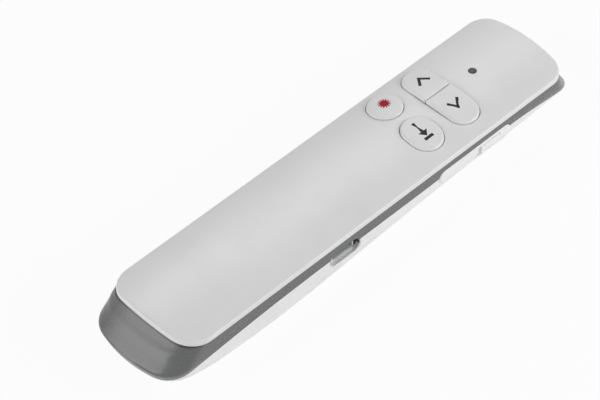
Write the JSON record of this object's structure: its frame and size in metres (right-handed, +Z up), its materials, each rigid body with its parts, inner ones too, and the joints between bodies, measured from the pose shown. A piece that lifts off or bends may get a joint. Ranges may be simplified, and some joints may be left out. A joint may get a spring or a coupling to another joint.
{
  "type": "laser pointer",
  "caption": "Slim handheld slide remote with a laser: crowned cover with press keys, flared grey frame, rounded white bottom shell, USB socket, slide switch and a stowed receiver.",
  "frame": {"origin": "middle of the footprint, on the flat underside of the bottom shell", "axes": "+X along the length towards the laser in the nose, +Y towards the long side without controls, +Z up through the keys"},
  "size_m": [0.1434, 0.0296, 0.0153],
  "materials": {
    "cover_white": "smooth satin moulded ABS",
    "frame_grey": "fine matte moulded ABS",
    "shell_white": "smooth satin moulded ABS",
    "key_white": "smooth satin moulded ABS",
    "switch_black": "moulded nylon",
    "plunger_tan": "moulded nylon",
    "board_green": "solder mask on glass laminate",
    "chip_black": "moulded epoxy",
    "passive_tan": "fired ceramic",
    "steel_can": "plated sheet steel",
    "steel_socket": "plated sheet steel",
    "screw_steel": "zinc-plated steel",
    "lamp_clear": "clear resin over phosphor",
    "pipe_smoke": "smoked clear acrylic",
    "tongue_black": "moulded polymer",
    "tongue_white": "moulded polymer",
    "contact_gold": "gold flash on copper alloy",
    "tape_grey": "foam tape",
    "pouch_silver": "laminated foil pouch",
    "lead_red": "silicone insulation",
    "barrel_brass": "turned brass",
    "lens_clear": "polished",
    "bezel_black": "moulded ABS",
    "receiver_white": "smooth satin moulded ABS"
  },
  "bodies": {
    "case": {"top_cover": "cover_white", "mid_frame": "frame_grey", "bottom_shell": "shell_white", "press_switch_bodies": "switch_black", "main_board": "board_green", "radio_chip": "chip_black", "charge_chip": "chip_black", "crystal": "steel_can", "chip_parts": "passive_tan", "status_lamp": "lamp_clear", "light_pipe": "pipe_smoke", "usb_shell": "steel_socket", "usb_tongue": "tongue_black", "usb_contacts": "contact_gold", "slide_switch_body": "steel_can", "battery_tape": "tape_grey", "battery_cell": "pouch_silver", "guard_board": "board_green", "battery_leads": "lead_red", "laser_barrel": "barrel_brass", "laser_diode": "steel_can", "laser_lens": "lens_clear", "laser_board": "board_green", "laser_leads": "lead_red", "laser_bezel": "bezel_black", "laser_window": "lens_clear", "shell_screws": "screw_steel"},
    "previous_button": {"previous_key": "key_white", "previous_plunger": "plunger_tan"},
    "next_button": {"next_key": "key_white", "next_plunger": "plunger_tan"},
    "laser_button": {"laser_key": "key_white", "laser_plunger": "plunger_tan"},
    "tab_button": {"tab_key": "key_white", "tab_plunger": "plunger_tan"},
    "power_switch": {"power_slider": "key_white", "slide_switch_lever": "switch_black"},
    "receiver": {"receiver_cap": "receiver_white", "receiver_plug": "steel_socket", "receiver_tongue": "tongue_white", "receiver_contacts": "contact_gold"}
  },
  "joints": [
    {"name": "previous_press", "type": "slide", "parent": "case", "child": "previous_button", "axis": [0, 0, -1], "range_m": [0, 0.00035], "stiffness_N_per_m": 1500},
    {"name": "next_press", "type": "slide", "parent": "case", "child": "next_button", "axis": [0, 0, -1], "range_m": [0, 0.00035], "stiffness_N_per_m": 1500},
    {"name": "laser_press", "type": "slide", "parent": "case", "child": "laser_button", "axis": [0, 0, -1], "range_m": [0, 0.00035], "stiffness_N_per_m": 1500},
    {"name": "tab_press", "type": "slide", "parent": "case", "child": "tab_button", "axis": [0, 0, -1], "range_m": [0, 0.00035], "stiffness_N_per_m": 1500},
    {"name": "power_slide", "type": "slide", "parent": "case", "child": "power_switch", "axis": [-1, 0, 0], "range_m": [0, 0.002]},
    {"name": "receiver_pull", "type": "slide", "parent": "case", "child": "receiver", "axis": [0, 0, -1], "range_m": [0, 0.009]}
  ]
}
